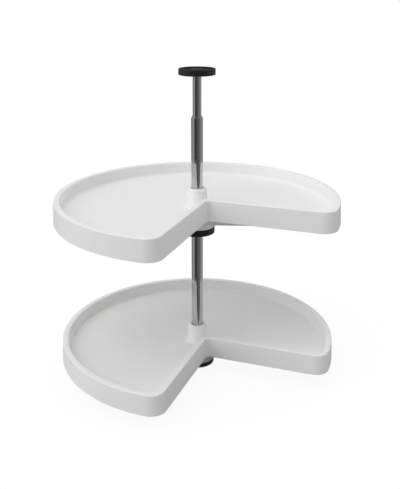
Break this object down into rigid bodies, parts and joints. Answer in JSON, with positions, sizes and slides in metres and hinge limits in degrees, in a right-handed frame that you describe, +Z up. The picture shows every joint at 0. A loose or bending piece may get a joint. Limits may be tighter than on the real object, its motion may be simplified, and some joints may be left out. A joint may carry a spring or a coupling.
{
  "type": "corner cabinet carousel",
  "caption": "Two-tier kidney carousel for a corner cabinet: notched white trays turning on a telescoping chrome post between black flanges.",
  "frame": {"origin": "on the post's axis at the cabinet floor, under the base flange", "axes": "+Z up along the post; the notch of both trays faces +X and -Y, with its walls along +X and -Y"},
  "size_m": [0.6098, 0.6098, 0.662],
  "materials": {
    "white_tray": "satin moulded white polymer",
    "black_moulding": "black moulded polymer, slight sheen",
    "chrome_tube": "bright chrome plated steel tube",
    "zinc_steel": "zinc plated steel",
    "black_screw": "black oxide steel",
    "bearing_polymer": "natural low-friction polymer"
  },
  "bodies": {
    "post": {"base_flange": "black_moulding", "outer_tube": "chrome_tube", "foot_plug": "zinc_steel", "foot_screw": "zinc_steel", "guide_bush": "bearing_polymer", "height_lock_screw": "zinc_steel", "lower_bearing_ring": "bearing_polymer"},
    "extension": {"inner_tube": "chrome_tube", "sliding_foot": "bearing_polymer", "top_plug": "zinc_steel", "top_flange": "black_moulding", "top_screw": "black_screw"},
    "lower_shelf": {"lower_tray": "white_tray", "lower_boss_bush": "bearing_polymer", "lower_skirt_bush": "bearing_polymer"},
    "collar": {"shelf_collar": "black_moulding", "collar_screw_left": "zinc_steel", "collar_screw_right": "zinc_steel", "upper_bearing_ring": "bearing_polymer"},
    "upper_shelf": {"upper_tray": "white_tray", "upper_boss_bush": "bearing_polymer", "upper_skirt_bush": "bearing_polymer"}
  },
  "joints": [
    {"name": "post_extension", "type": "slide", "parent": "post", "child": "extension", "axis": [0, 0, 1], "range_m": [-0.075, 0.1]},
    {"name": "lower_shelf_turn", "type": "hinge", "parent": "post", "child": "lower_shelf", "pos_m": [0, 0, 0.0355], "axis": [0, 0, 1], "continuous": true},
    {"name": "upper_shelf_height", "type": "slide", "parent": "post", "child": "collar", "axis": [0, 0, 1], "range_m": [-0.2, 0.12]},
    {"name": "upper_shelf_turn", "type": "hinge", "parent": "collar", "child": "upper_shelf", "pos_m": [0, 0, 0.354], "axis": [0, 0, 1], "continuous": true}
  ]
}
